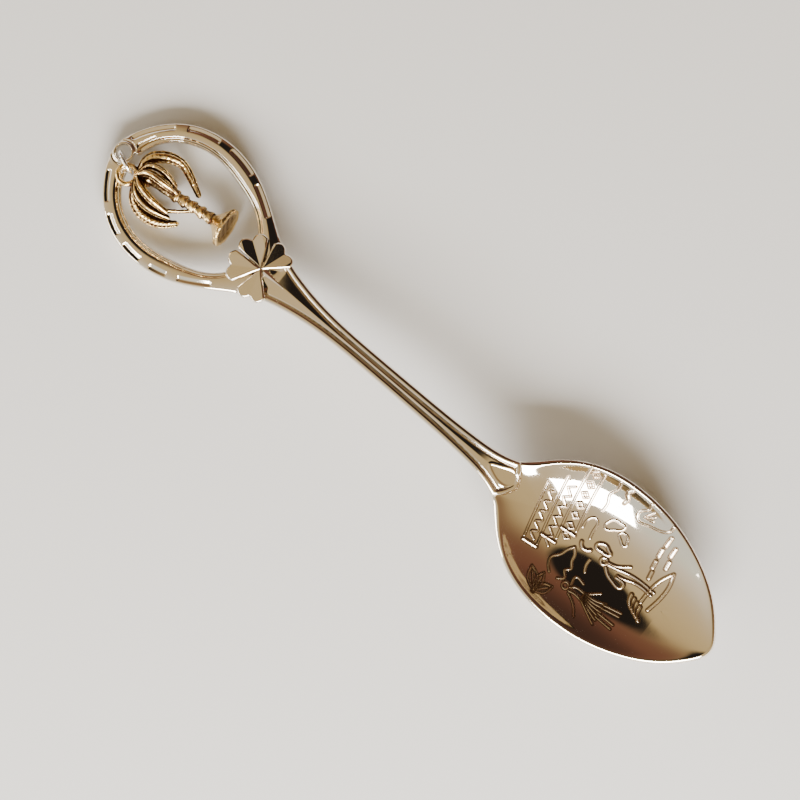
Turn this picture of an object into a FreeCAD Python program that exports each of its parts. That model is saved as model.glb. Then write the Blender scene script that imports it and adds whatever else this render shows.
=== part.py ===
import FreeCAD, Part
import math
import os
from FreeCAD import Vector

# Souvenir charm spoon, lying face up on a table.  Millimetres, +Z up, +X towards the bowl's tip.
# The origin is on the table, under the middle of the spoon's length.
# Stations are distances along the spoon from the tip of its loop, written as "station" or "s".

# ---------------------------------------------------------------- driving dimensions
SPOON_LENGTH = 111.6
SHEET_THICKNESS = 0.9        # wall of the bowl
BOWL_DEPTH = 5.1             # from the rim down to the deepest point of the inside
BOWL_HALF_WIDTH = 11.4
BOWL_END = SPOON_LENGTH

# Bowl: half-width and rim height at stations from the heel to the tip.
BOWL_OUTLINE = (
    (73.2, 3.05), (74.7, 4.05), (77.7, 7.0), (82.0, 9.8), (86.5, 11.1), (90.5, BOWL_HALF_WIDTH),
    (96.2, 10.85), (102.2, 8.9), (107.2, 5.9), (110.3, 2.75), (BOWL_END, 0.0),
)
BOWL_RIM_HEIGHT = ((72.0, 7.35), (76.0, 6.75), (82.0, 6.25), (90.5, 6.0), (102.0, 6.0), (113.0, 6.35))

# Handle: outer outline of the loop and the stem, as half-widths.
HANDLE_OUTLINE = (
    (0.0, 0.0), (2.2, 5.5), (6.5, 9.4), (12.4, 10.95), (19.0, 9.75), (25.2, 6.2), (29.0, 4.0),
    (33.2, 2.65), (39.2, 1.7), (48.2, 1.42), (57.2, 1.47), (67.2, 1.8), (71.2, 2.35), (74.0, 3.2),
)
HANDLE_TONGUE = ((75.0, 1.5), (75.8, 0.0))     # rounded end that laps onto the bowl's heel
LOOP_OPENING = ((3.45, 0.0), (5.0, 4.6), (7.7, 6.8), (12.5, 8.0), (17.0, 7.3), (23.2, 4.5), (25.4, 0.0))
EYE_NOTCH_HALF_WIDTH = 0.95                    # the opening runs on to the eye between the arms

# Handle: top and underside heights.
HANDLE_TOP = (
    (-2.0, 1.95), (0.0, 2.05), (13.2, 2.9), (27.2, 4.4), (42.2, 6.4), (57.2, 8.2), (66.0, 8.7),
    (71.2, 8.3), (73.4, 7.7), (75.8, 6.75), (78.0, 5.8),
)
HANDLE_UNDERSIDE = (
    (-2.0, 0.8), (0.0, 0.85), (13.2, 1.1), (27.2, 2.4), (42.2, 4.5), (57.2, 6.3), (66.0, 6.8),
    (71.2, 6.4), (75.8, 5.2), (78.0, 4.4),
)

# Decoration of the handle.
STEM_GROOVE_START = 32.6
STEM_GROOVE_END = 73.0
EDGE_BEAD_WIDTH = 0.5        # plain bead left along each edge of the stem
GROOVE_WIDTH = 0.4
GROOVE_DEPTH = 0.35
SLOT_INSET = 0.4            # long shallow slots run round the loop, this far from its outer edge
SLOT_WIDTH = 0.75
SLOT_DEPTH = 0.3
# Each slot: its start and its length, along the outer edge from the loop's tip.
SLOTS_LEFT = ((2.4, 7.2), (11.4, 5.5), (18.8, 5.2), (25.4, 5.4))
SLOTS_RIGHT = ((3.6, 5.2), (10.4, 3.8), (15.6, 3.7), (20.8, 3.1), (25.4, 5.4))

# Eye at the loop's tip, for the jump ring.
EYE_STATION = 1.55
EYE_RADIUS = 1.55
EYE_HOLE_RADIUS = 1.05

# Clover badge over the root of the stem.
CLOVER_STATION = 27.9
CLOVER_HEIGHT = 1.0          # how far it stands proud of the handle
CREASE_DEPTH = 0.45
CREASE_HALF_WIDTH = 1.5
CREASE_START = 0.6           # from the clover's centre
LEAF_HALF_ANGLE = 31.0       # each leaf is a fan, from its point at the clover's centre
# Each leaf: direction in degrees from +X, and length to the tops of its two lobes.
CLOVER_LEAVES = ((147.0, 5.1), (212.0, 5.1), (73.0, 4.75), (-72.0, 4.85))
LEAF_NOTCH = 0.86            # share of a leaf's length
LEAF_SHOULDER = 0.84
LOBE_ANGLE = 0.55            # share of the leaf's half angle
STALK_START = 28.4
STALK_END = 32.0
STALK_HALF_WIDTH = 0.5
STALK_TIP_HALF_WIDTH = 0.08

# Jump ring: upright, turned a little away from the spoon's axis.
RING_WIRE_RADIUS = 0.27
RING_OUTER_RADIUS = 2.06
RING_YAW = -22.8
RING_CENTRE = (2.8, -0.95)
RING_GAP = 0.12
RING_GAP_LEAN = 20.0         # from upright, towards the spoon's tip

# Palm tree charm, one casting.
CHARM_EYE = (4.2, -2.1, 2.8)
CHARM_EYE_RADIUS = 1.38      # to the middle of the eye's wire
CHARM_EYE_WIRE = 0.37
CROWN_HUB = (5.7, -1.2, 2.7)
CROWN_HUB_RADIUS = 0.95
# Each frond: points along its middle, and its half-thickness at each.
FRONDS = (
    (((5.4, -0.9, 2.7), (5.2, 1.5, 2.9), (6.6, 3.2, 2.8), (9.2, 4.15, 2.4), (11.7, 3.3, 1.9),
      (13.7, 2.3, 1.5)), (0.5, 0.8, 0.9, 0.72, 0.6, 0.42)),
    (((5.5, -0.9, 3.0), (6.2, 0.9, 4.0), (7.7, 1.5, 4.4), (10.7, 1.1, 3.4)), (0.45, 0.5, 0.5, 0.35)),
    (((5.6, -1.0, 3.2), (6.9, 0.0, 4.6), (9.2, 0.3, 4.7), (11.4, 0.4, 3.3)), (0.5, 0.6, 0.6, 0.4)),
    (((5.7, -1.5, 3.2), (7.2, -2.2, 4.3), (9.2, -2.6, 4.4), (12.0, -2.6, 3.3)), (0.5, 0.55, 0.55, 0.4)),
    (((5.6, -1.6, 2.9), (7.0, -3.2, 3.4), (9.2, -3.8, 3.3), (12.6, -3.1, 2.7)), (0.5, 0.6, 0.6, 0.4)),
    (((5.7, -1.6, 2.5), (7.2, -4.1, 2.2), (9.6, -5.05, 2.0), (12.0, -4.5, 1.8), (13.9, -3.0, 1.9)),
     (0.5, 0.85, 0.85, 0.75, 0.48)),
    (((5.7, -0.8, 2.2), (7.4, 0.3, 1.1), (9.4, 0.7, 0.85), (11.2, 0.5, 1.0)), (0.5, 0.6, 0.6, 0.35)),
    (((5.7, -1.6, 2.2), (7.2, -2.6, 1.1), (9.4, -3.3, 0.85), (11.8, -3.2, 1.1)), (0.5, 0.6, 0.6, 0.35)),
    (((11.6, -2.7, 3.2), (13.2, -1.5, 3.1), (14.9, 0.1, 2.9)), (0.35, 0.28, 0.28)),
)
NUT_RADIUS = 0.55
NUTS = ((7.0, -0.7, 3.2), (6.9, -1.7, 3.1), (7.1, -1.2, 2.2))
TRUNK_START = (5.8, -0.75, 2.7)
TRUNK_END = (17.7, 0.95, 2.65)
TRUNK_RADIUS = 0.7
TRUNK_RING_RADIUS = 0.88
TRUNK_RING_SPACING = 1.45
TRUNK_RINGS_START = 5.0      # from the trunk's root
BASE_RADIUS = 2.95
BASE_LENGTH = 2.6            # flared foot, from the trunk to its rim
BASE_RIM = 0.5
BASE_TILT = 8.0              # the foot's axis rises towards its rim

ABOVE = 30.0                 # taller than anything here, for cutting solids
SIDE = 20.0                  # wider than anything here


# ---------------------------------------------------------------- shared geometry
def at(station, y, z=0.0):
    """A point of the part, from its station along the spoon."""
    return Vector(station - SPOON_LENGTH / 2, y, z)


def blend(table, station):
    """Value of a table of (station, value) pairs on a smooth curve through them."""
    index = 0
    while index < len(table) - 2 and station > table[index + 1][0]:
        index += 1
    (s0, v0), (s1, v1) = table[index], table[index + 1]
    before = table[max(index - 1, 0)]
    after = table[min(index + 2, len(table) - 1)]
    slope0 = (v1 - before[1]) / (s1 - before[0])
    slope1 = (after[1] - v0) / (after[0] - s0)
    span = s1 - s0
    t = (station - s0) / span
    return (
        v0 * (2 * t ** 3 - 3 * t ** 2 + 1) + slope0 * span * (t ** 3 - 2 * t ** 2 + t)
        + v1 * (3 * t ** 2 - 2 * t ** 3) + slope1 * span * (t ** 3 - t ** 2)
    )


def spline(points, closed=False):
    curve = Part.BSplineCurve()
    curve.interpolate(Points=points, PeriodicFlag=closed)
    return curve


def prism(edges, height=ABOVE, base=-1.0):
    """Upright solid over a closed outline of edges."""
    face = Part.Face(Part.Wire(edges))
    solid = face.extrude(Vector(0, 0, height))
    solid.translate(Vector(0, 0, base))
    return solid


def mirrored(table):
    """Both sides of a table of (station, half-width) pairs whose first point is on the axis."""
    left = [at(s, w) for s, w in table]
    right = [at(s, -w) for s, w in reversed(table[1:])]
    return right + left


def side_profile(top, underside):
    """Solid as wide as SIDE each way, between two height tables over the same stations."""
    upper = spline([at(s, -SIDE, z) for s, z in top]).toShape()
    lower = spline([at(s, -SIDE, z) for s, z in underside]).toShape()
    ends = [
        Part.makeLine(upper.Vertexes[-1].Point, lower.Vertexes[-1].Point),
        Part.makeLine(lower.Vertexes[0].Point, upper.Vertexes[0].Point),
    ]
    face = Part.Face(Part.Wire([upper, ends[0], lower, ends[1]]))
    return face.extrude(Vector(0, 2 * SIDE, 0))


def surface_layer(depth):
    """Everything above the handle's top surface sunk by depth."""
    sunk = [(s, z - depth) for s, z in HANDLE_TOP]
    return side_profile([(s, ABOVE) for s, z in HANDLE_TOP], sunk)


def tapered_limb(points, radii):
    """Rounded limb through points, with its own half-thickness at each."""
    path = spline([at(*point) for point in points])
    rings = []
    for point, radius in zip(points, radii):
        place = at(*point)
        direction = path.tangent(path.parameter(place))[0]
        rings.append(Part.Wire(Part.makeCircle(radius, place, direction)))
    return Part.makeLoft(rings, True)


# ---------------------------------------------------------------- bowl
def bowl_surface(drop):
    """Face over the whole bowl: parabolic across, deepest where the outline is widest."""
    first, last = BOWL_OUTLINE[0][0] - 1.0, BOWL_END + 1.0
    squares = [(s, w * w) for s, w in BOWL_OUTLINE]
    rows = []
    row_count = 24
    for i in range(row_count + 1):
        station = first + (last - first) * i / row_count
        rim = blend(BOWL_RIM_HEIGHT, station)
        square = blend(squares, station)
        row = []
        for side in (-1.0, -0.5, 0.0, 0.5, 1.0):
            y = side * (BOWL_HALF_WIDTH + 1.0)
            depth = BOWL_DEPTH * (square - y * y) / BOWL_HALF_WIDTH ** 2
            row.append(at(station, y, rim - depth - drop))
        rows.append(row)
    surface = Part.BSplineSurface()
    surface.interpolate(rows)
    return surface.toShape()


def make_bowl():
    tip_first = tuple(reversed(BOWL_OUTLINE))
    edge = spline(mirrored(tip_first)).toShape()
    heel = Part.makeLine(edge.Vertexes[-1].Point, edge.Vertexes[0].Point)
    blank = prism([edge, heel])
    above_underside = bowl_surface(SHEET_THICKNESS).extrude(Vector(0, 0, ABOVE))
    hollow = bowl_surface(0.0).extrude(Vector(0, 0, ABOVE))
    return blank.common(above_underside).cut(hollow)


# ---------------------------------------------------------------- handle
def handle_blank():
    edge = spline(mirrored(HANDLE_OUTLINE)).toShape()
    left_corner, right_corner = edge.Vertexes[-1].Point, edge.Vertexes[0].Point
    (shoulder_s, shoulder_w), (tip_s, tip_w) = HANDLE_TONGUE
    tongue = Part.Arc(at(shoulder_s, shoulder_w), at(tip_s, tip_w), at(shoulder_s, -shoulder_w)).toShape()
    left = Part.makeLine(left_corner, at(shoulder_s, shoulder_w))
    right = Part.makeLine(at(shoulder_s, -shoulder_w), right_corner)
    return prism([edge, left, tongue, right])


def loop_opening():
    inner = mirrored(LOOP_OPENING)[:-1]
    opening = prism([spline(inner, closed=True).toShape()])
    notch_length = LOOP_OPENING[1][0] - EYE_STATION
    notch = Part.makeBox(
        notch_length, 2 * EYE_NOTCH_HALF_WIDTH, ABOVE, at(EYE_STATION, -EYE_NOTCH_HALF_WIDTH, -1.0)
    )
    return opening.fuse(notch)


def stem_grooves():
    """Two long channels, one inside each edge bead."""
    layer = surface_layer(GROOVE_DEPTH)
    step = (STEM_GROOVE_END - STEM_GROOVE_START) / 8
    stations = [STEM_GROOVE_START + step * i for i in range(9)]
    grooves = []
    for side in (1, -1):
        outer, inner = [], []
        for s in stations:
            edge = blend(HANDLE_OUTLINE, s) - EDGE_BEAD_WIDTH
            outer.append(at(s, side * edge))
            inner.append(at(s, side * (edge - GROOVE_WIDTH)))
        edges = [
            spline(outer).toShape(), Part.makeLine(outer[-1], inner[-1]),
            spline(inner).toShape(), Part.makeLine(inner[0], outer[0]),
        ]
        grooves.append(prism(edges).common(layer))
    return grooves


def loop_slots():
    """Long shallow slots that follow the loop's outer edge on each side."""
    layer = surface_layer(SLOT_DEPTH)
    edge = spline(mirrored(HANDLE_OUTLINE))
    tip_parameter = edge.parameter(at(0, 0))
    slots = []
    for side, places in ((1, SLOTS_LEFT), (-1, SLOTS_RIGHT)):
        for start, length in places:
            outer, inner = [], []
            for i in range(5):
                distance = start + length * i / 4
                parameter = edge.parameterAtDistance(side * distance, tip_parameter)
                point = edge.value(parameter)
                along = edge.tangent(parameter)[0]
                inward = Vector(along.y, -along.x, 0)
                outer.append(point + inward * SLOT_INSET)
                inner.append(point + inward * (SLOT_INSET + SLOT_WIDTH))
            edges = [
                spline(outer).toShape(), Part.makeLine(outer[-1], inner[-1]),
                spline(inner).toShape(), Part.makeLine(inner[0], outer[0]),
            ]
            slots.append(prism(edges).common(layer))
    return slots


def make_handle(bowl):
    shape = handle_blank().cut(loop_opening())
    shape = shape.fuse(Part.makeCylinder(EYE_RADIUS, ABOVE, at(EYE_STATION, 0, -1.0)))
    shape = shape.common(side_profile(HANDLE_TOP, HANDLE_UNDERSIDE))
    shape = shape.cut(Part.makeCylinder(EYE_HOLE_RADIUS, ABOVE, at(EYE_STATION, 0, -1.0)))
    for cutter in stem_grooves() + loop_slots():
        shape = shape.cut(cutter)
    below_bowl = bowl_surface(0.0).extrude(Vector(0, 0, -ABOVE))
    below_bowl = below_bowl.common(Part.makeBox(SIDE, 2 * SIDE, 2 * ABOVE, at(73.2, -SIDE, -ABOVE)))
    return shape.cut(bowl).cut(below_bowl)


# ---------------------------------------------------------------- clover badge
def leaf(direction, length):
    """Heart-shaped leaf: straight sides that fan out from a point, and two round lobes."""
    def place(radius, angle):
        turn = math.radians(direction + angle)
        return at(CLOVER_STATION + radius * math.cos(turn), radius * math.sin(turn))

    point = place(-0.3, 0)
    notch = place(length * LEAF_NOTCH, 0)
    sides, lobes = [], []
    for hand in (1, -1):
        shoulder = place(length * LEAF_SHOULDER, hand * LEAF_HALF_ANGLE)
        lobe_top = place(length, hand * LEAF_HALF_ANGLE * LOBE_ANGLE)
        sides.append(Part.makeLine(point, shoulder))
        lobes.append(Part.Arc(shoulder, lobe_top, notch).toShape())
    return prism([sides[0], lobes[0], lobes[1], sides[1]])


def crease(direction, length, top):
    """V-shaped cutter along a leaf's middle."""
    bottom = Vector(CREASE_START, 0, top - CREASE_DEPTH)
    sides = [Vector(CREASE_START, hand * CREASE_HALF_WIDTH, top + 0.05) for hand in (1, -1)]
    corners = [bottom] + sides
    cutter = Part.Face(Part.makePolygon(corners + corners[:1])).extrude(Vector(length + 1, 0, 0))
    cutter.rotate(Vector(0, 0, 0), Vector(0, 0, 1), direction)
    return cutter


def make_clover():
    top = blend(HANDLE_TOP, CLOVER_STATION) + CLOVER_HEIGHT
    start, end = CLOVER_STATION - 6, CLOVER_STATION + 6
    slope = (blend(HANDLE_TOP, end) - blend(HANDLE_TOP, start)) / (end - start)
    blades = [leaf(*values) for values in CLOVER_LEAVES]
    stalk_points = [
        at(STALK_START, STALK_HALF_WIDTH), at(STALK_END, STALK_TIP_HALF_WIDTH),
        at(STALK_END, -STALK_TIP_HALF_WIDTH), at(STALK_START, -STALK_HALF_WIDTH),
    ]
    stalk = prism(Part.makePolygon(stalk_points + stalk_points[:1]).Edges)
    shape = blades[0].multiFuse(blades[1:] + [stalk]).removeSplitter()
    flat = Part.makeBox(2 * SIDE, 2 * SIDE, ABOVE, Vector(-SIDE, -SIDE, top))
    for direction, length in CLOVER_LEAVES:
        flat = flat.fuse(crease(direction, length, top))
    flat.rotate(Vector(0, 0, top), Vector(0, 1, 0), -math.degrees(math.atan(slope)))
    flat.translate(at(CLOVER_STATION, 0))
    ground = side_profile(HANDLE_TOP, [(s, -2.0) for s, z in HANDLE_TOP])
    return shape.cut(flat).cut(ground)


# ---------------------------------------------------------------- jump ring
def make_jump_ring():
    """Round wire ring, standing upright through the eye, with its butted ends towards the tip."""
    centre = at(*RING_CENTRE, RING_OUTER_RADIUS)
    yaw = math.radians(RING_YAW)
    across = Vector(-math.sin(yaw), math.cos(yaw), 0)
    ring = Part.makeTorus(RING_OUTER_RADIUS - RING_WIRE_RADIUS, RING_WIRE_RADIUS, centre, across)
    width = 4 * RING_WIRE_RADIUS
    inside = RING_OUTER_RADIUS - width
    gap = Part.makeBox(RING_GAP, width, 2 * width, Vector(-RING_GAP / 2, -width / 2, inside))
    gap.rotate(Vector(0, 0, 0), Vector(0, 1, 0), -RING_GAP_LEAN)
    gap.rotate(Vector(0, 0, 0), Vector(0, 0, 1), RING_YAW)
    gap.translate(centre)
    return ring.cut(gap)


# ---------------------------------------------------------------- palm charm
def turned(outline, start, axis):
    """Solid turned about an axis, from points given as (radius, distance along the axis)."""
    points = [Vector(radius, 0, distance) for radius, distance in outline]
    face = Part.Face(Part.makePolygon(points + points[:1]))
    solid = face.revolve(Vector(0, 0, 0), Vector(0, 0, 1), 360)
    solid.Placement = FreeCAD.Placement(start, FreeCAD.Rotation(Vector(0, 0, 1), axis))
    return solid


def make_trunk():
    """Trunk with raised rings."""
    start, end = at(*TRUNK_START), at(*TRUNK_END)
    length = (end - start).Length
    outline = [(0, 0), (TRUNK_RADIUS, 0)]
    distance = TRUNK_RINGS_START
    while distance < length - TRUNK_RING_SPACING:
        outline.append((TRUNK_RADIUS, distance))
        outline.append((TRUNK_RING_RADIUS, distance + TRUNK_RING_SPACING * 0.7))
        outline.append((TRUNK_RADIUS, distance + TRUNK_RING_SPACING * 0.9))
        distance += TRUNK_RING_SPACING
    outline += [(TRUNK_RADIUS, length + TRUNK_RADIUS), (0, length + TRUNK_RADIUS)]
    return turned(outline, start, end - start)


def make_foot():
    """Flared foot, tilted so that its lower rim rests and its face looks slightly upwards."""
    along = at(*TRUNK_END) - at(*TRUNK_START)
    level = math.hypot(along.x, along.y)
    axis = Vector(along.x, along.y, level * math.tan(math.radians(BASE_TILT)))
    rim_start = BASE_LENGTH - BASE_RIM
    outline = [
        (0, -TRUNK_RADIUS), (TRUNK_RADIUS, -TRUNK_RADIUS / 2), (TRUNK_RADIUS * 1.25, 0),
        (BASE_RADIUS * 0.6, BASE_LENGTH * 0.42), (BASE_RADIUS * 0.96, rim_start),
        (BASE_RADIUS, rim_start + BASE_RIM / 2), (BASE_RADIUS * 0.94, BASE_LENGTH), (0, BASE_LENGTH),
    ]
    return turned(outline, at(*TRUNK_END), axis)


def make_charm():
    eye = Part.makeTorus(CHARM_EYE_RADIUS, CHARM_EYE_WIRE, at(*CHARM_EYE), Vector(0, 0, 1))
    pieces = [Part.makeSphere(CROWN_HUB_RADIUS, at(*CROWN_HUB))]
    pieces += [tapered_limb(points, radii) for points, radii in FRONDS]
    pieces += [Part.makeSphere(NUT_RADIUS, at(*place)) for place in NUTS]
    pieces += [make_trunk(), make_foot()]
    shape = eye
    for piece in pieces:
        shape = shape.fuse(piece)
    below = at(CHARM_EYE[0], CHARM_EYE[1], -1.0)
    wire_room = Part.makeCylinder(CHARM_EYE_RADIUS - CHARM_EYE_WIRE, ABOVE, below)
    return shape.cut(wire_room)


# ---------------------------------------------------------------- output
def main():
    bowl = make_bowl()
    nodes = {
        "bowl": bowl,
        "handle": make_handle(bowl),
        "clover_badge": make_clover(),
        "jump_ring": make_jump_ring(),
        "palm_charm": make_charm(),
    }
    os.makedirs("parts", exist_ok=True)
    for name, shape in nodes.items():
        solids = shape.Solids
        whole = solids[0] if len(solids) == 1 else Part.makeCompound(solids)
        box = whole.optimalBoundingBox()
        print(
            name, len(solids), "solid", "valid" if whole.isValid() else "INVALID", round(whole.Volume, 2),
            [round(v, 3) for v in (box.XMin, box.XMax, box.YMin, box.YMax, box.ZMin, box.ZMax)],
        )
        whole.exportStep("parts/" + name + ".step")


main()
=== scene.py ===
import math
from functools import partial

import bmesh
import bpy
import numpy as np
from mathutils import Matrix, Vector


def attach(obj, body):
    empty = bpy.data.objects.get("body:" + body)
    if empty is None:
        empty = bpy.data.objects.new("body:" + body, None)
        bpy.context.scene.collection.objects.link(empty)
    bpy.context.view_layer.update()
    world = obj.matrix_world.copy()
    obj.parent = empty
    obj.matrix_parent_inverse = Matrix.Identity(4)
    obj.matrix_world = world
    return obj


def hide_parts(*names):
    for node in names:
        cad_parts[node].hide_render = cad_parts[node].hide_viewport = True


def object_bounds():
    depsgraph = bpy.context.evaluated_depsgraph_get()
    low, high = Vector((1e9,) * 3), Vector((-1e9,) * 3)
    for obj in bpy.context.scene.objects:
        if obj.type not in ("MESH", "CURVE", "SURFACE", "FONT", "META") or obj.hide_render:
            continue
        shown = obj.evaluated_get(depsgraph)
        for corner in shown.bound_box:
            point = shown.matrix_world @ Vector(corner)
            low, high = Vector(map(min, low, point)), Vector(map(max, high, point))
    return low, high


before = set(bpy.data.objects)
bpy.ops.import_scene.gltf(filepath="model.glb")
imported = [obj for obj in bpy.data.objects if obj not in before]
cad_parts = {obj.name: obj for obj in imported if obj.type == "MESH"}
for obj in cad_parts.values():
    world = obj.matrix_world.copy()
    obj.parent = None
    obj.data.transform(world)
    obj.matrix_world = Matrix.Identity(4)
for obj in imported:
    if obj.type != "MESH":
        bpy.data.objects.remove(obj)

# Souvenir charm spoon, lying face up.  Shapes are worked out in millimetres and turned into metres
# when each mesh is made.  A station is a distance along the spoon from the tip of its loop.

CAD_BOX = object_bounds()
MM = 0.001
LENGTH = (CAD_BOX[1][0] - CAD_BOX[0][0]) / MM
START = CAD_BOX[0][0] / MM

# ---------------------------------------------------------------- driving dimensions
# Bowl: half-width and rim height at stations from the heel to the tip.
BOWL_OUTLINE = (
    (73.2, 3.05), (74.7, 4.05), (77.7, 7.0), (82.0, 9.8), (86.5, 11.1), (90.5, 11.4),
    (96.2, 10.85), (102.2, 8.9), (107.2, 5.9), (110.3, 2.75), (LENGTH, 0.0),
)
BOWL_RIM_HEIGHT = ((72.0, 7.35), (76.0, 6.75), (82.0, 6.25), (90.5, 6.0), (102.0, 6.0), (113.0, 6.35))
BOWL_DEPTH = 5.1
BOWL_WIDEST = 11.4
SHEET_THICKNESS = 0.9
RIM_LAND = 0.8               # nearly flat edge before the inside falls away
LIP_WIDTH = 0.6              # the rim's top falls outwards over this width
BOWL_MIDDLE = (81.0, 103.0)  # the inside is meshed outwards from this stretch of its middle line

# Handle: half-widths of its outline and of the loop's opening, then its heights.
HANDLE_OUTLINE = (
    (0.0, 0.0), (2.2, 5.5), (6.5, 9.4), (12.4, 10.95), (19.0, 9.75), (25.2, 6.2), (29.0, 4.0),
    (33.2, 2.65), (39.2, 1.7), (48.2, 1.42), (57.2, 1.47), (67.2, 1.8), (71.2, 2.35), (73.6, 3.1),
)
TONGUE = ((74.4, 2.5), (75.3, 1.4), (75.8, 0.3))
LOOP_OPENING = ((3.45, 0.0), (5.0, 4.6), (7.7, 6.8), (12.5, 8.0), (17.0, 7.3), (23.2, 4.5), (25.4, 0.0))
HANDLE_TOP = (
    (-2.0, 1.95), (0.0, 2.05), (13.2, 2.9), (27.2, 4.4), (42.2, 6.4), (57.2, 8.2), (66.0, 8.7),
    (71.2, 8.3), (73.4, 7.7), (75.8, 6.75), (78.0, 5.8),
)
HANDLE_UNDERSIDE = (
    (-2.0, 0.8), (0.0, 0.85), (13.2, 1.1), (27.2, 2.4), (42.2, 4.5), (57.2, 6.3), (66.0, 6.8),
    (71.2, 6.4), (75.8, 5.2), (78.0, 4.4),
)
EYE = (1.55, 0.0)
EYE_RADIUS = 1.55
EYE_HOLE_RADIUS = 1.05
EYE_NOTCH = 0.95             # half-width of the gap from the opening to the eye
# Each slot: its start and its length, along the outer edge from the loop's tip.
SLOTS_LEFT = ((2.4, 7.2), (11.4, 5.5), (18.8, 5.2), (25.4, 5.4))
SLOTS_RIGHT = ((3.6, 5.2), (10.4, 3.8), (15.6, 3.7), (20.8, 3.1), (25.4, 5.4))
SLOT_DEPTH = 0.3

CLOVER = (27.9, 0.0)
CLOVER_HEIGHT = 1.0
# Each leaf: direction, length, how deep its middle crease is, and how steeply it droops.
CLOVER_LEAVES = (
    (147.0, 5.1, 0.45, 0.02), (212.0, 5.1, 0.12, 0.03), (73.0, 4.75, 0.3, 0.11), (-72.0, 4.85, 0.1, 0.03),
)
LEAF_HALF_ANGLE = 31.0
CREASE_HALF_WIDTH = 1.5
CLOVER_STALK = ((28.4, 0.5), (32.0, 0.08))

RING_CENTRE = (2.8, -0.95, 2.06)
RING_OUTER_RADIUS = 2.06
RING_WIRE_RADIUS = 0.27
RING_YAW = -22.8
RING_GAP = 0.12
RING_GAP_LEAN = 20.0

CHARM_EYE = (4.2, -2.1, 2.8)
CHARM_EYE_RADIUS = 1.38
CHARM_EYE_WIRE = 0.37
CROWN_HUB = (5.7, -1.2, 2.7)
CROWN_HUB_RADIUS = 0.95
# Each frond: points along its middle, and its half-thickness at each.
FRONDS = (
    (((5.4, -0.9, 2.7), (5.2, 1.5, 2.9), (6.6, 3.2, 2.8), (9.2, 4.15, 2.4), (11.7, 3.3, 1.9),
      (13.7, 2.3, 1.5)), (0.5, 0.8, 0.9, 0.72, 0.6, 0.42)),
    (((5.5, -0.9, 3.0), (6.2, 0.9, 4.0), (7.7, 1.5, 4.4), (10.7, 1.1, 3.4)), (0.45, 0.5, 0.5, 0.35)),
    (((5.6, -1.0, 3.2), (6.9, 0.0, 4.6), (9.2, 0.3, 4.7), (11.4, 0.4, 3.3)), (0.5, 0.6, 0.6, 0.4)),
    (((5.7, -1.5, 3.2), (7.2, -2.2, 4.3), (9.2, -2.6, 4.4), (12.0, -2.6, 3.3)), (0.5, 0.55, 0.55, 0.4)),
    (((5.6, -1.6, 2.9), (7.0, -3.2, 3.4), (9.2, -3.8, 3.3), (12.6, -3.1, 2.7)), (0.5, 0.6, 0.6, 0.4)),
    (((5.7, -1.6, 2.5), (7.2, -4.1, 2.2), (9.6, -5.05, 2.0), (12.0, -4.5, 1.8), (13.9, -3.0, 1.9)),
     (0.5, 0.85, 0.85, 0.75, 0.48)),
    (((5.7, -0.8, 2.2), (7.4, 0.3, 1.1), (9.4, 0.7, 0.85), (11.2, 0.5, 1.0)), (0.5, 0.6, 0.6, 0.35)),
    (((5.7, -1.6, 2.2), (7.2, -2.6, 1.1), (9.4, -3.3, 0.85), (11.8, -3.2, 1.1)), (0.5, 0.6, 0.6, 0.35)),
    (((11.6, -2.7, 3.2), (13.2, -1.5, 3.1), (14.9, 0.1, 2.9)), (0.35, 0.28, 0.28)),
)
NUT_RADIUS = 0.55
NUTS = ((7.0, -0.7, 3.2), (6.9, -1.7, 3.1), (7.1, -1.2, 2.2))
TRUNK_START = (5.8, -0.75, 2.7)
TRUNK_END = (17.7, 0.95, 2.65)
TRUNK_RADIUS = 0.7
TRUNK_RING_RADIUS = 0.88
TRUNK_RING_SPACING = 1.45
TRUNK_RINGS_START = 5.0
BASE_RADIUS = 2.95
BASE_LENGTH = 2.6
BASE_RIM = 0.5
BASE_TILT = 8.0
FOOT_HOLLOW = 0.4            # how far the foot's face dips inside its rim


# ---------------------------------------------------------------- curves
def smooth_values(table, where):
    """Values of a table of (station, value) rows at where, on a curve with smooth curvature."""
    knots = np.array([row[0] for row in table], float)
    values = np.array([row[1:] for row in table], float)
    gaps = np.diff(knots)
    count = len(knots)
    matrix = np.eye(count)
    bends = np.zeros_like(values)
    for i in range(1, count - 1):
        matrix[i, i - 1:i + 2] = gaps[i - 1], 2 * (gaps[i - 1] + gaps[i]), gaps[i]
        bends[i] = 6 * ((values[i + 1] - values[i]) / gaps[i] - (values[i] - values[i - 1]) / gaps[i - 1])
    bends = np.linalg.solve(matrix, bends)
    where = np.asarray(where, float)
    i = np.clip(np.searchsorted(knots, where) - 1, 0, count - 2)
    gap = gaps[i][..., None]
    b = (where - knots[i])[..., None] / gap
    a = 1 - b
    curve = a * values[i] + b * values[i + 1]
    curve += ((a ** 3 - a) * bends[i] + (b ** 3 - b) * bends[i + 1]) * gap ** 2 / 6
    return curve[..., 0] if curve.shape[-1] == 1 else curve


def curve_through(points, spacing, closed=False):
    """Points at about equal spacing along a smooth curve through the given ones."""
    points = np.array(points, float)
    lead = min(3, len(points) - 1) if closed else 0
    if closed:
        points = np.vstack([points[-lead:], points, points[:lead + 1]])
    run = np.concatenate([[0], np.cumsum(np.linalg.norm(np.diff(points, axis=0), axis=1))])
    first, last = run[lead], run[len(points) - lead - 1]
    count = max(int(round((last - first) / spacing)), 2)
    curve = smooth_values(np.column_stack([run, points]), np.linspace(first, last, count + 1))
    return curve[:-1] if closed else curve


def both_sides(table):
    """Outline from a table of (station, half-width) pairs: right side first, then left."""
    return [(s, -w) for s, w in table[::-1]] + [(s, w) for s, w in table if w > 0]


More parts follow.
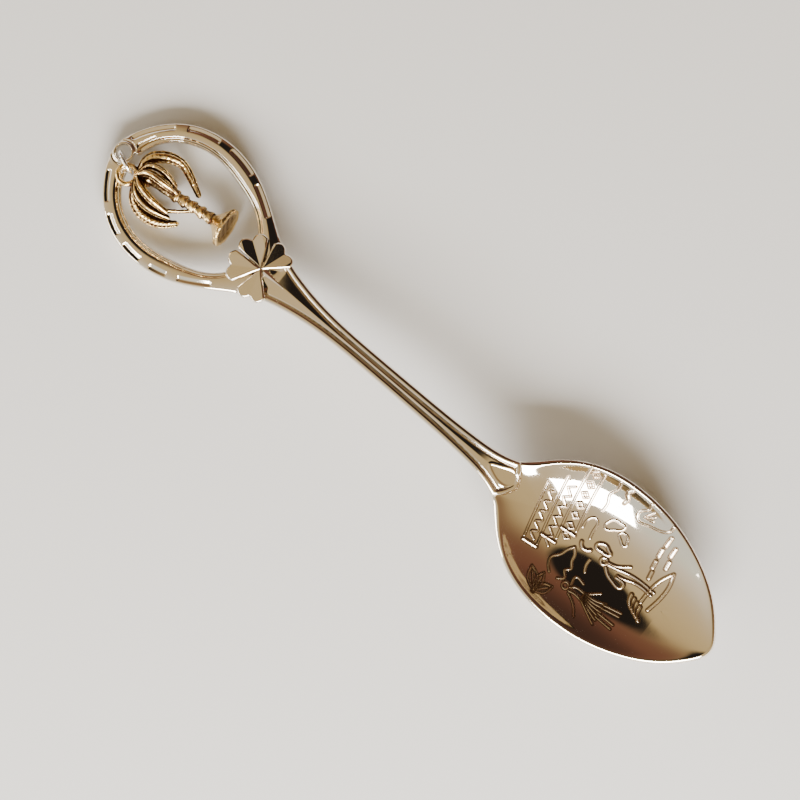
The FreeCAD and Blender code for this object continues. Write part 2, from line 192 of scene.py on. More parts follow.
def ease(value, low, high):
    """0 below low, 1 above high, and smooth between."""
    t = np.clip((value - low) / (high - low), 0, 1)
    return t * t * (3 - 2 * t)


def bump(value, centre, half_width):
    """Round bump of height 1."""
    t = np.clip((value - centre) / half_width, -1, 1)
    return (1 - t * t) ** 2


# ---------------------------------------------------------------- distances
FAR = 1e6
REACH = 5.0                  # distances beyond this are only known to be large
SLICES = 64                  # a grid is worked through in this many slices


def outline_distance(x, y, points, closed=True):
    """Distance to a flat outline, negative inside a closed one, and the length along it."""
    ends = np.roll(points, -1, axis=0) if closed else points[1:]
    starts = points if closed else points[:-1]
    lengths = np.linalg.norm(ends - starts, axis=1)
    runs = np.cumsum(lengths) - lengths
    left = np.minimum(starts[:, 0], ends[:, 0]) - REACH
    right = np.maximum(starts[:, 0], ends[:, 0]) + REACH
    shape = np.broadcast(x, y).shape
    best = np.full(shape, FAR)
    along = np.zeros(shape)
    inside = np.zeros(shape, bool)
    for block in np.array_split(np.arange(shape[0]), min(shape[0], SLICES)):
        cut = slice(block[0], block[-1] + 1)
        xs = x[cut]
        ys = y[cut] if y.shape[0] == shape[0] else y
        for k in np.flatnonzero((left < xs.max()) & (right > xs.min())):
            ax, ay = starts[k]
            dx, dy = ends[k] - starts[k]
            t = np.clip(((xs - ax) * dx + (ys - ay) * dy) / lengths[k] ** 2, 0, 1)
            square = (xs - ax - t * dx) ** 2 + (ys - ay - t * dy) ** 2
            nearer = square < best[cut]
            best[cut] = np.where(nearer, square, best[cut])
            along[cut] = np.where(nearer, runs[k] + t * lengths[k], along[cut])
            if closed and dx:
                inside[cut] ^= ((ax > xs) != (ax + dx > xs)) & (ys < ay + (xs - ax) * dy / dx)
    distance = np.sqrt(best)
    return np.where(inside, -distance, distance), along


def rounded_meet(a, b, radius):
    """Where two shapes overlap, with the edge between them rounded."""
    corner = np.sqrt(np.maximum(a + radius, 0) ** 2 + np.maximum(b + radius, 0) ** 2)
    return np.minimum(np.maximum(a, b), -radius) + corner


def melt(a, b, radius):
    """Two shapes joined, with a small fillet."""
    t = np.clip(0.5 + 0.5 * (b - a) / radius, 0, 1)
    return b + (a - b) * t - radius * t * (1 - t)


# ---------------------------------------------------------------- surfaces
CORNERS = [np.array((i, j, k)) for i in (0, 1) for j in (0, 1) for k in (0, 1)]
AXES = np.eye(3, dtype=int)
PROBE = 0.1                  # share of a step or reach over which a field's slope is taken
LEAST_STEEPNESS = 0.25
LONGEST_MOVE = 0.6           # share of a grid step


def even_grid(low, high, step):
    return [np.arange(a, b + step, step) for a, b in zip(low, high)]


def skin(field, grid):
    """Points and quads over the surface where field is zero, from its values on a grid."""
    counts = np.array([len(line) for line in grid])
    values = field(grid[0][:, None, None], grid[1][None, :, None], grid[2][None, None, :])
    inside = values < 0
    cells = tuple(counts - 1)
    filled = sum(
        inside[c[0]:c[0] + cells[0], c[1]:c[1] + cells[1], c[2]:c[2] + cells[2]].astype(np.int8)
        for c in CORNERS
    )
    active = np.argwhere((filled > 0) & (filled < len(CORNERS)))
    index = np.full(cells, -1)
    index[tuple(active.T)] = np.arange(len(active))
    total = np.zeros((len(active), 3))
    hits = np.zeros(len(active))
    for axis in AXES:
        for corner in CORNERS:
            if corner @ axis:
                continue
            a = values[tuple((active + corner).T)]
            b = values[tuple((active + corner + axis).T)]
            crossed = (a < 0) != (b < 0)
            t = np.where(crossed, a / np.where(crossed, a - b, 1), 0)
            total += crossed[:, None] * (corner + t[:, None] * axis)
            hits += crossed
    spots = active + total / hits[:, None]
    points = np.column_stack([np.interp(spots[:, a], np.arange(counts[a]), grid[a]) for a in range(3)])
    quads = []
    for n, axis in enumerate(AXES):
        u, v = AXES[(n + 1) % 3], AXES[(n + 2) % 3]
        stop = counts - axis
        here = inside[:stop[0], :stop[1], :stop[2]]
        edges = np.argwhere(here != inside[axis[0]:, axis[1]:, axis[2]:])
        leaving = here[tuple(edges.T)]
        faces = np.stack([index[tuple((edges - shift).T)] for shift in (u + v, v, 0 * u, u)], axis=1)
        quads.append(np.where(leaving[:, None], faces, faces[:, ::-1]))
    return settle(field, points, np.diff(grid[2]).min()), np.vstack(quads)


def slope(field, points, reach):
    """Value of a field at points, and how it rises along each axis."""
    x, y, z = points.T
    value = field(x, y, z)
    rises = [field(x + reach, y, z) - value, field(x, y + reach, z) - value, field(x, y, z + reach) - value]
    return value, np.stack(rises, axis=1) / reach


def settle(field, points, step):
    """Points moved onto the field's zero surface."""
    value, rise = slope(field, points, step * PROBE)
    steepness = np.maximum((rise ** 2).sum(axis=1), LEAST_STEEPNESS)
    move = np.clip(value / steepness, -LONGEST_MOVE * step, LONGEST_MOVE * step)
    return points - rise * move[:, None]


def hollowness(field, points, reach):
    """How sheltered each point is: 0 on open ground, towards 1 in a groove."""
    _, rise = slope(field, points, reach * PROBE)
    outward = rise / np.linalg.norm(rise, axis=1)[:, None]
    clear = field(*(points + reach * outward).T) / reach
    return np.clip(1 - clear, 0, 1)


# ---------------------------------------------------------------- making pieces
MERGE_DISTANCE = 1e-7        # metres
SHELTER_REACH = 0.3          # how far out the plated pieces look for shelter


def make_piece(name, points, faces, body, node, material, tarnish_and_shade_mask):
    """A smooth mesh from points in millimetres, riding on a body and standing for a CAD node."""
    mesh = bpy.data.meshes.new(name)
    mesh.from_pydata(((points + (START, 0, 0)) * MM).tolist(), [], faces.tolist())
    mesh.polygons.foreach_set("use_smooth", np.ones(len(mesh.polygons), bool))
    # Per-point darkening for the material: partly the metal's tarnish in its hollows, partly painted shade.
    attribute = mesh.attributes.new("tarnish_and_shade_mask", "FLOAT", "POINT")
    attribute.data.foreach_set("value", np.asarray(tarnish_and_shade_mask, np.float32))
    work = bmesh.new()
    work.from_mesh(mesh)
    bmesh.ops.remove_doubles(work, verts=work.verts, dist=MERGE_DISTANCE)
    bmesh.ops.recalc_face_normals(work, faces=work.faces)
    work.to_mesh(mesh)
    work.free()
    mesh.materials.append(material)
    piece = bpy.data.objects.new(name, mesh)
    bpy.context.scene.collection.objects.link(piece)
    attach(piece, body)
    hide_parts(node)


# ---------------------------------------------------------------- bowl
RIM_RADIUS = SHEET_THICKNESS / 2
ROWS_INSIDE = 150
ROWS_UNDERSIDE = 40
ROWS_LIP = 10
ROWS_BELOW_LIP = 6
SECTION_POWER = 1.2          # 1 is a parabola across; more is flatter in the middle
LIP_FALL_POWER = 1.5         # how sharply the rim's top turns down
HEEL_ROUNDING = 0.7
BOWL_EDGE_SPACING = 0.08


def bowl_half_width_squared(station):
    return smooth_values([(s, w * w) for s, w in BOWL_OUTLINE], station)


def bowl_inside(station, y, inset):
    """Height of the bowl's inner surface before its picture is struck."""
    square = np.maximum(bowl_half_width_squared(station), 0.01)
    across = np.clip(y * y / square, 0, 1)
    depth = BOWL_DEPTH * square / BOWL_WIDEST ** 2 * (1 - across ** SECTION_POWER)
    land = inset ** 2 / (inset ** 2 + RIM_LAND ** 2)
    return smooth_values(BOWL_RIM_HEIGHT, station) - depth * land


def bowl_edge():
    """Closed outline of the bowl, with its heel rounded off under the handle."""
    angle = np.linspace(0, math.pi, 240)
    heel = BOWL_OUTLINE[0][0]
    stations = (heel + LENGTH) / 2 + (LENGTH - heel) / 2 * np.cos(angle)
    left = np.column_stack([stations, np.sqrt(np.maximum(bowl_half_width_squared(stations), 0))])
    turn = np.linspace(0, math.pi, 10)[1:-1]
    end = np.column_stack([heel - HEEL_ROUNDING * np.sin(turn), left[-1, 1] * np.cos(turn)])
    right = left[::-1][:-1] * (1, -1)
    return curve_through(np.vstack([left, end, right]), BOWL_EDGE_SPACING, closed=True)


def make_bowl(material):
    edge = bowl_edge()
    around = len(edge)
    middle = np.column_stack([np.clip(edge[:, 0], *BOWL_MIDDLE), np.zeros(around)])
    reach = np.linalg.norm(edge - middle, axis=1)

    def row(inset, top):
        """One closed row of points at an inset from the edge, and how much tarnish and painted shade each
        gets.
        """
        share = (inset / reach)[:, None]
        s, y = (edge * (1 - share) + middle * share).T
        z = bowl_inside(s, y, inset)
        if not top:
            fall = RIM_RADIUS - np.sqrt(RIM_RADIUS ** 2 - np.maximum(RIM_RADIUS - inset, 0) ** 2)
            return np.column_stack([s, y, z - SHEET_THICKNESS + fall]), 0 * s
        fall = RIM_RADIUS * np.maximum(1 - inset / LIP_WIDTH, 0) ** LIP_FALL_POWER
        raised, tarnish_and_shade_mask = struck_picture(s, y)
        return np.column_stack([s, y, z - fall + raised]), tarnish_and_shade_mask

    turn = np.linspace(0, math.pi / 2, ROWS_BELOW_LIP + 1)[1:]
    below = RIM_RADIUS * (1 - np.cos(turn))
    above = np.linspace(0, LIP_WIDTH, ROWS_LIP + 1)[1:]
    steps = range(ROWS_UNDERSIDE)
    under = [row(reach + (RIM_RADIUS - reach) * k / ROWS_UNDERSIDE, False) for k in steps]
    lip = [row(inset + 0 * reach, False) for inset in below[::-1]]
    lip += [row(0 * reach, False)] + [row(inset + 0 * reach, True) for inset in above]
    steps = range(1, ROWS_INSIDE + 1)
    inner = [row(LIP_WIDTH + (reach - LIP_WIDTH) * k / ROWS_INSIDE, True) for k in steps]
    rows = under + lip + inner
    i = np.arange(around)
    j = (i + 1) % around
    faces = [np.column_stack([i, j, j + around, i + around]) + r * around for r in range(len(rows) - 1)]
    points = np.vstack([points for points, _ in rows])
    tarnish_and_shade_mask = np.concatenate([tarnish_and_shade_mask for _, tarnish_and_shade_mask in rows])
    make_piece("bowl_shell", points, np.vstack(faces), "spoon", "bowl", material, tarnish_and_shade_mask)


# ---------------------------------------------------------------- the bowl's picture
# Generic drawing in raised lines.  Places are stations and distances to the spoon's left.
FINE_LINE = 0.18             # half-widths of the raised lines
RIDER_LINE = 0.23
BOLD_LINE = 0.27
LINE_STEEPNESS = 0.62        # a line's height, as a share of its half-width
ROW_SLANT = 0.3
ROW_SPACING = 2.4
FIRST_ROW = 79.75
WAVE_LENGTH = 1.5
WAVE_HEIGHT = 0.5
TOOTH_LENGTH = 0.75
TOOTH_HEIGHT = 0.55
TEETH = 12
LOZENGE_SPACING = 1.55
LOZENGE = ((0, 0.6), (0.45, 0), (0, -0.6), (-0.45, 0))     # corners: along the row, across it
HEAD_RADIUS = 0.5
LEAF_PLUMPNESS = 0.22        # half-width of a leaf, as a share of its length
STROKE_SPACING = 0.25


def arc(centre, radius, first, last):
    """Points on part of a circle, angles in degrees."""
    turn = np.radians(np.linspace(first, last, 13))
    return np.column_stack([centre[0] + radius * np.cos(turn), centre[1] + radius * np.sin(turn)])


def cloud(centre, length, width, lean):
    """A closed, lumpy oval."""
    turn = np.linspace(0, 2 * math.pi, 29)
    lump = 1 + 0.13 * np.cos(3 * turn + 1) + 0.05 * np.sin(5 * turn)
    x, y = length * lump * np.cos(turn), width * lump * np.sin(turn)
    c, s = math.cos(math.radians(lean)), math.sin(math.radians(lean))
    return np.column_stack([centre[0] + c * x - s * y, centre[1] + s * x + c * y])


def across_row(row, y, aside=0.0):
    """A place on one of the slanting rows, counted from the first ruled line."""
    return FIRST_ROW + ROW_SPACING * row - ROW_SLANT * y + aside, y


def panel_strokes():
    """Three slanting rows between ruled lines, filled with a wave, teeth and lozenges."""
    ends = ((-4.4, 3.5), (-4.2, 6.0), (-1.8, 9.6), (0.8, 9.4))
    strokes = [[across_row(k, low), across_row(k, high)] for k, (low, high) in enumerate(ends)]
    strokes.append([
        across_row(0.5, y, WAVE_HEIGHT * math.sin(2 * math.pi * y / WAVE_LENGTH))
        for y in np.arange(-4.0, 3.2, WAVE_LENGTH / 10)
    ])
    teeth = [across_row(1.5, -3.4 + TOOTH_LENGTH * k, TOOTH_HEIGHT * (-1) ** k) for k in range(TEETH + 1)]
    strokes += [[a, b] for a, b in zip(teeth[:-1], teeth[1:])]
    for y in np.arange(-0.6, 8.8, LOZENGE_SPACING):
        corners = [across_row(2.5, y + along, across) for along, across in LOZENGE]
        strokes += [[a, b] for a, b in zip(corners, corners[1:] + corners[:1])]
    return strokes


def panel_end_strokes():
    """Short heavy bars that close the rows' right ends."""
    return [[across_row(k, y - 0.3), across_row(k + 1, y)] for k, y in enumerate((-4.6, -2.4, 0.2))]


def shore_strokes():
    """Along the left side: a winding shore, round islands and a hill with three blades of grass."""
    strokes = [
        [(86.4, 10.2), (86.9, 9.1), (86.6, 8.0), (87.2, 7.0), (87.5, 5.6)],
        cloud((90.3, 5.0), 1.4, 0.75, 35),
        cloud((92.6, 4.4), 1.05, 0.55, -35),
        [(91.8, 10.6), (92.1, 9.8), (91.5, 9.1), (91.6, 8.1), (92.4, 7.7), (93.7, 8.1), (95.2, 8.5),
         (96.4, 9.5), (96.2, 10.2)],
        [(87.0, 1.9), (86.9, 3.5), (87.5, 4.1), (88.2, 3.8), (88.5, 2.7), (88.9, 1.3)],
        [(90.9, -1.0), (91.0, -2.0), (91.5, -2.9)],
    ]
    for lean in (10, 40, 70):
        turn = math.radians(lean)
        strokes.append([(92.5, 8.7), (92.5 + 1.3 * math.cos(turn), 8.7 + 1.3 * math.sin(turn))])
    return strokes


def mountain_strokes():
    """A steep mountain on the right side, with its foot in the water."""
    return [
        [(88.0, -1.0), (87.4, -2.0), (87.0, -3.2), (86.2, -4.3), (86.5, -5.3), (87.3, -6.1)],
        [(88.0, -1.0), (88.8, -2.0), (89.1, -3.0), (89.6, -3.8), (89.0, -4.5), (89.6, -5.2), (88.8, -6.1)],
    ]


def bold_strokes():
    """A bit of shore, a cloud, a gull, dashes of spray and rolling water."""
    strokes = [
        [(88.5, 10.3), (88.3, 9.6), (88.9, 9.1), (89.0, 8.3)],
        cloud((91.4, 1.45), 1.2, 0.55, 0),
        arc((89.2, 0.6), 1.0, 200, 330),
    ]
    dashes = (
        (97.2, 8.8, 1.4), (97.5, 6.8, 1.1), (98.0, 5.0, 1.1), (98.6, 3.5, 1.1), (98.7, 8.0, 1.3),
        (99.4, 6.1, 1.1),
    )
    for station, y, length in dashes:
        strokes.append([(station, y), (station + 0.3, y - length)])
    for k in range(4):
        strokes.append([(98.6 + 0.65 * k, -0.9 - 0.2 * k), (98.9 + 0.65 * k, -1.8 - 0.25 * k),
                        (99.7 + 0.6 * k, -2.5 - 0.25 * k)])
    return strokes


def rider_strokes():
    """A plain stick rider leaning over a long board."""
    return [
        arc((92.6, 0.15), HEAD_RADIUS, 0, 360),
        [(93.2, 0.4), (94.4, 0.75), (95.2, 1.3), (96.0, 2.0)],
        [(93.4, 0.15), (94.8, 0.5), (96.4, 1.0), (98.5, 1.3), (100.7, 1.3)],
        [(95.4, -0.2), (96.6, 0.1), (97.6, 0.5), (98.8, 0.75), (100.6, 0.7)],
        [(93.3, -0.3), (94.2, -1.0), (95.4, -1.35), (96.8, -1.3), (96.9, -0.7), (95.4, -0.5)],
        [(100.2, -1.0), (100.1, 1.5), (100.4, 3.6), (101.0, 5.2)],
        [(101.0, 5.2), (101.6, 3.8), (101.9, 1.5), (101.6, -1.2)],
    ]


def broad_leaf(root, tip):
    """A pointed leaf with its midrib and a stem."""
    root, tip = np.array(root), np.array(tip)
    aside = np.array((root[1] - tip[1], tip[0] - root[0])) * LEAF_PLUMPNESS
    middle = (root + tip) / 2
    midrib = [root * 1.1 - tip * 0.1, (middle + tip) / 2]
    return [[root, middle + aside, tip], [root, middle - aside, tip], midrib]


def dancer_strokes():
    """A plain stick dancer with one arm raised and a grass skirt, beside a sprig of three leaves."""
    strokes = [
        arc((90.4, -6.1), HEAD_RADIUS, 0, 360),
        [(91.1, -5.7), (90.9, -4.2), (92.4, -4.3)],
        [(91.1, -5.9), (92.0, -5.3), (93.4, -5.2), (94.2, -4.6), (95.2, -3.7)],
        [(91.2, -6.4), (92.1, -6.2), (93.4, -6.3)],
        [(91.4, -6.7), (92.8, -7.4), (93.9, -8.7)],
    ]
    for tip in ((84.7, -7.0), (86.8, -6.7), (89.0, -7.5)):
        strokes += broad_leaf((86.9, -9.5), tip)
    for k in range(6):
        strokes.append([(93.4, -5.2 - 0.2 * k), (95.2, -5.0 - 0.42 * k), (96.7, -4.4 - 0.68 * k)])
    for y, lean in ((-4.7, 0.7), (-5.2, 0.6), (-6.1, 0.1), (-6.7, 0.0)):
        strokes.append([(96.5, y), (99.1, y + lean)])
    return strokes


def smooth_stroke(points):
    return np.array(points, float) if len(points) == 2 else curve_through(points, STROKE_SPACING)


PICTURE = [
    (smooth_stroke(stroke), half_width)
    for group, half_width in (
        (panel_strokes(), FINE_LINE), (panel_end_strokes(), BOLD_LINE), (shore_strokes(), FINE_LINE),
        (mountain_strokes(), FINE_LINE), (bold_strokes(), BOLD_LINE), (rider_strokes(), RIDER_LINE),
        (dancer_strokes(), FINE_LINE),
    )
    for stroke in group
]


def struck_picture(s, y):
    """Raised height of the picture's lines, and how much the ground beside them is darkened, partly as
    tarnish and partly as painted shade.
    """
    height = np.zeros(s.shape)
    beside = np.zeros(s.shape)
    for stroke, half_width in PICTURE:
        low, high = stroke.min(axis=0) - 2 * half_width, stroke.max(axis=0) + 2 * half_width
        close = np.flatnonzero((s > low[0]) & (s < high[0]) & (y > low[1]) & (y < high[1]))
        nearest = np.full(close.shape, FAR)
        for (ax, ay), (bx, by) in zip(stroke[:-1], stroke[1:]):
            px, py, dx, dy = s[close] - ax, y[close] - ay, bx - ax, by - ay
            t = np.clip((px * dx + py * dy) / (dx * dx + dy * dy), 0, 1)
            nearest = np.minimum(nearest, np.hypot(px - t * dx, py - t * dy))
        raised = LINE_STEEPNESS * half_width * bump(nearest, 0, half_width)
        height[close] = np.maximum(height[close], raised)
        # Ground right beside each line is darkened: partly tarnish, partly painted shade.
        beside[close] = np.maximum(beside[close], bump(nearest, half_width, half_width))
    return height, beside


# ---------------------------------------------------------------- handle
OUTLINE_SPACING = 0.35
TONGUE_SPACING = 0.2
DROP_SPACING = 0.3
TOP_ROUNDING = 0.28
UNDERSIDE_ROUNDING = 0.45
NOTCH_FILLET = 0.4
EYE_FILLET = 0.15
EYE_GROOVE = 0.15
EYE_RIM = 0.14
LAP_INSET = 3.0              # the handle rests at the sheet's height this far inside
LOOP_TO_STEM = (29.0, 31.0)  # the loop's decoration gives way to the stem's here
LOOP_STEP = 0.22             # the inner edge's step down, with a bead beside the opening
INNER_BEAD = 0.14
INNER_BEAD_INSET = 0.26
CROWN = 0.4                  # fall of the loop's top from its ridge
CROWN_WIDTH = 3.0
SLOT_INSET = 0.74
SLOT_HALF_WIDTH = 0.44
SLOT_END = 0.3
BEAD_HEIGHT = 0.15
BEAD_INSET = 0.5
GROOVE_DEPTH = 0.14
GROOVE_INSET = 1.0
GROOVE_HALF_WIDTH = 0.22
RIDGE_HEIGHT = 0.18          # the stem's raised middle; it sinks by RIDGE_SINK near the bowl
RIDGE_SINK = 0.15
DROP_DEPTH = 0.05
DROP_EDGE = 0.07
TONGUE_FALL = 0.45
HANDLE_STEP = 0.085          # grid steps: across and up, along the ends, along the stem
ENDS_STEP = 0.09
STEM_STEP = 0.2
STEM = (31.0, 66.0)


def handle_outline():
    """Closed outline of the handle: its two sides, then round the end of its tongue."""
    sides = both_sides(HANDLE_OUTLINE)
    tongue = [*TONGUE, *[(s, -w) for s, w in TONGUE[::-1]]]
    end = curve_through([sides[-1], *tongue, sides[0]], TONGUE_SPACING)
    return np.vstack([curve_through(sides, OUTLINE_SPACING), end[1:-1]])


HANDLE_EDGE = handle_outline()
TIP = np.argmin(HANDLE_EDGE[:, 0])
TIP_RUN = np.linalg.norm(np.diff(HANDLE_EDGE[:TIP + 1], axis=0), axis=1).sum()
LOOP_EDGE = curve_through(both_sides(LOOP_OPENING), OUTLINE_SPACING, closed=True)
DROP = curve_through(
    ((70.4, 0.05), (71.6, 0.75), (73.2, 1.45), (74.3, 1.5), (74.9, 0.9), (75.0, 0.0), (74.5, -0.75),
     (73.2, -1.1), (71.6, -0.75)), DROP_SPACING, closed=True,
)
NICK = np.array(((2.5, 2.2), (3.0, 3.4), (3.6, 4.6)))
LAP_START = 73.4             # beyond here the handle lies on the bowl's sheet


def handle_top(x):
    return smooth_values(HANDLE_TOP, x)


def handle_middle(x):
    return (handle_top(x) + smooth_values(HANDLE_UNDERSIDE, x)) / 2


def handle_field(x, y, z):
    """The handle, flattened: z is measured from the middle of its thickness."""
    outer, along = outline_distance(x, y, HANDLE_EDGE)
    opening, _ = outline_distance(x, y, LOOP_EDGE)
    from_eye = np.hypot(x - EYE[0], y - EYE[1])
    notch = np.maximum(np.abs(y) - EYE_NOTCH, np.abs(x - 3.2) - 1.6)
    plan = np.maximum(outer, -melt(opening, notch, NOTCH_FILLET))
    plan = melt(plan, from_eye - EYE_RADIUS, EYE_FILLET)
    plan = np.maximum(plan, EYE_HOLE_RADIUS - from_eye)
    middle = handle_middle(x)
    half = handle_top(x) - middle
    top = half + handle_relief(x, y, -outer, opening, along - TIP_RUN, from_eye)
    solid = rounded_meet(plan, -z - half, UNDERSIDE_ROUNDING)
    solid = rounded_meet(solid, z - top, TOP_ROUNDING)
    sheet = bowl_inside(np.maximum(x, LAP_START), y, LAP_INSET) - RIM_RADIUS
    return np.maximum(solid, np.minimum(x - LAP_START, sheet - middle - z))


def handle_relief(x, y, inset, from_opening, run, from_eye):
    """Height of the decoration over the handle's plain top."""
    stem = ease(x, *LOOP_TO_STEM)
    relief = stem * stem_relief(x, y, inset) + (1 - stem) * loop_relief(x, y, inset, from_opening, run)
    relief = relief * ease(from_eye, EYE_RADIUS + 0.2, EYE_RADIUS + 1.0)
    relief = relief - EYE_GROOVE * bump(from_eye, EYE_RADIUS + 0.2, 0.22)
    rim = EYE_RIM - 2.4 * (from_eye - (EYE_RADIUS + EYE_HOLE_RADIUS) / 2) ** 2
    return relief + (rim - relief) * (1 - ease(from_eye, EYE_RADIUS - 0.02, EYE_RADIUS + 0.12))


def stem_relief(x, y, inset):
    """Edge beads, grooves inside them and a raised middle that ends in a drop-shaped hollow."""
    middle = np.sqrt(y * y + 0.002)
    half_field = np.maximum(inset + np.abs(y) - GROOVE_INSET, 0.3)
    bead = BEAD_HEIGHT * bump(inset, BEAD_INSET, BEAD_INSET)
    groove = -GROOVE_DEPTH * bump(inset, GROOVE_INSET, GROOVE_HALF_WIDTH)
    height = RIDGE_HEIGHT - RIDGE_SINK * ease(x, 60.0, 67.0)
    gable = height * (1 - np.minimum(middle / half_field, 1.1)) - 0.04
    drop, _ = outline_distance(x, y, DROP)
    ground = groove + gable * ease(inset, 0.85, 1.05)
    hollow = ease(-drop, -0.15, 0.25)
    ground = ground * (1 - hollow) - DROP_DEPTH * hollow
    ridge = DROP_EDGE * bump(drop, 0.0, 0.35)
    return bead + ground + ridge - TONGUE_FALL * ease(x, LAP_START, TONGUE[-1][0]) ** 2


def loop_relief(x, y, inset, from_opening, run):
    """Long slots along the loop's outer edge and a step down to a bead along its inner edge."""
    step = -LOOP_STEP * (1 - ease(from_opening, 0.5, 0.9))
    step = step + INNER_BEAD * bump(from_opening, INNER_BEAD_INSET, INNER_BEAD_INSET)
    length = np.abs(run)
    slots = np.zeros(np.broadcast(x, y).shape)
    for side, places in ((1, SLOTS_LEFT), (-1, SLOTS_RIGHT)):
        for start, size in places:
            begun = ease(length, start, start + SLOT_END)
            ends = begun * (1 - ease(length, start + size - SLOT_END, start + size))
            slots = np.maximum(slots, ends * (side * run > 0))
    slots = slots * np.maximum(1.05 - np.sqrt(((inset - SLOT_INSET) / SLOT_HALF_WIDTH) ** 2 + 0.01), 0)
    nick, _ = outline_distance(x, y, NICK, closed=False)
    crown = -CROWN * np.minimum(np.abs(inset - from_opening) / CROWN_WIDTH, 1.0) ** 2
    return step + crown - SLOT_DEPTH * slots - 0.12 * bump(nick, 0, 0.2)


def make_handle(material):
    lines = even_grid((-0.4, -11.4, -1.6), (76.4, 11.4, 1.6), HANDLE_STEP)
    lines[0] = np.concatenate([
        np.arange(lines[0][0], STEM[0], ENDS_STEP), np.arange(*STEM, STEM_STEP),
        np.arange(STEM[1], 76.4, ENDS_STEP),
    ])
    points, faces = skin(handle_field, lines)
    # Grooves and hollows of the handle get darkened: partly tarnish, partly painted shade.
    tarnish_and_shade_mask = hollowness(handle_field, points, SHELTER_REACH)
    points[:, 2] += handle_middle(points[:, 0])
    make_piece("handle_body", points, faces, "spoon", "handle", material, tarnish_and_shade_mask)


# ---------------------------------------------------------------- clover badge
BADGE_FOOT = -0.35           # hidden in the handle's decoration
BEVEL = 0.2
BEVEL_ROUNDING = 0.05
LEAF_ROUNDING = 0.06
FILLING_RADIUS = 1.1         # solid middle under the leaves' points
FILLING_HEIGHT = 0.45
BADGE_STEP = 0.055
LEAF_NOTCH = 0.88
# One lobe of a leaf, from its shoulder to the notch: share of the length, and of the half angle.
LOBE = [
    (LEAF_NOTCH - 0.04 + 0.16 * math.sin(t) ** 0.8, 1.0 - 0.02 - 0.94 * k / 14)
    for k, t in enumerate(np.linspace(0.12, 2.95, 15))
]


def leaf_outline(direction, length):
    """Heart-shaped leaf that fans out from the clover's centre."""
    half = [(-0.3, 0.0)]
    half += [(length * share, LEAF_HALF_ANGLE) for share in (0.2, 0.4, 0.6)]
    half += [(length * share, LEAF_HALF_ANGLE * angle) for share, angle in LOBE]
    notch = [(length * LEAF_NOTCH, 0.0)]
    shape = half + notch + [(radius, -angle) for radius, angle in half[:0:-1]]
    turn = np.radians([direction + angle for _, angle in shape])
    radius = np.array([radius for radius, _ in shape])
    return np.column_stack([CLOVER[0] + radius * np.cos(turn), radius * np.sin(turn)])


LEAVES = [
    (math.radians(direction), leaf_outline(direction, length), depth, droop)
    for direction, length, depth, droop in CLOVER_LEAVES
]
STALK_EDGE = np.array([*CLOVER_STALK, *[(s, -w) for s, w in CLOVER_STALK[::-1]]])


def badge_field(x, y, z):
    """The clover, with z measured from the handle's plain top."""
    stalk, _ = outline_distance(x, y, STALK_EDGE)
    stalk_top = 0.75 - 0.5 * np.abs(y) - 0.1 * (x - CLOVER[0])
    shape = np.maximum(stalk, z - stalk_top)
    for direction, outline, depth, droop in LEAVES:
        plan, _ = outline_distance(x, y, outline)
        outward = (x - CLOVER[0]) * math.cos(direction) + (y - CLOVER[1]) * math.sin(direction)
        lateral = np.abs((y - CLOVER[1]) * math.cos(direction) - (x - CLOVER[0]) * math.sin(direction))
        crease = depth * np.maximum(1 - np.sqrt(lateral ** 2 + 0.004) / CREASE_HALF_WIDTH, 0)
        top = z - CLOVER_HEIGHT + crease + droop * outward
        bevel = (plan + top + BEVEL) * math.sqrt(0.5)
        leaf = rounded_meet(rounded_meet(plan, top, LEAF_ROUNDING), bevel, BEVEL_ROUNDING)
        shape = np.minimum(shape, leaf)
    from_centre = np.hypot(x - CLOVER[0], y - CLOVER[1])
    filling = np.maximum(from_centre - FILLING_RADIUS, z - FILLING_HEIGHT)
    return rounded_meet(np.minimum(shape, filling), BADGE_FOOT - z, 0.1)


def make_badge(material):
    low = (CLOVER[0] - 5.6, -5.4, BADGE_FOOT - 0.2)
    points, faces = skin(badge_field, even_grid(low, (32.6, 5.4, CLOVER_HEIGHT + 0.3), BADGE_STEP))
    # Between and under the clover's leaves it is darkened: partly tarnish, partly painted shade.
    tarnish_and_shade_mask = hollowness(badge_field, points, SHELTER_REACH)
    points[:, 2] += handle_top(points[:, 0])
    make_piece("clover", points, faces, "spoon", "clover_badge", material, tarnish_and_shade_mask)


# ---------------------------------------------------------------- jump ring
WIRE_END_ROUNDING = 0.06
RING_STEP = 0.05


def ring_field(x, y, z):
    """Upright ring of round wire, with a narrow gap near its top."""
    yaw = math.radians(RING_YAW)
    lean = math.radians(RING_GAP_LEAN)
    along = (x - RING_CENTRE[0]) * math.cos(yaw) + (y - RING_CENTRE[1]) * math.sin(yaw)
    across = (y - RING_CENTRE[1]) * math.cos(yaw) - (x - RING_CENTRE[0]) * math.sin(yaw)
    up = z - RING_CENTRE[2]
    wire = np.hypot(np.hypot(along, up) - RING_OUTER_RADIUS + RING_WIRE_RADIUS, across) - RING_WIRE_RADIUS
    beside = along * math.cos(lean) + up * math.sin(lean)
    above = up * math.cos(lean) - along * math.sin(lean)
    ends = RING_GAP / 2 - np.abs(beside)
    return np.where(above > 0, rounded_meet(wire, ends, WIRE_END_ROUNDING), wire)


def make_ring(material):
    centre = np.array(RING_CENTRE)
    margin = RING_OUTER_RADIUS + 0.2
    points, faces = skin(ring_field, even_grid(centre - margin, centre + margin, RING_STEP))
    tarnish_and_shade_mask = np.zeros(len(points))
    make_piece("jump_ring_wire", points, faces, "ring", "jump_ring", material, tarnish_and_shade_mask)


# ---------------------------------------------------------------- palm charm
LIMB_SPACING = 0.4
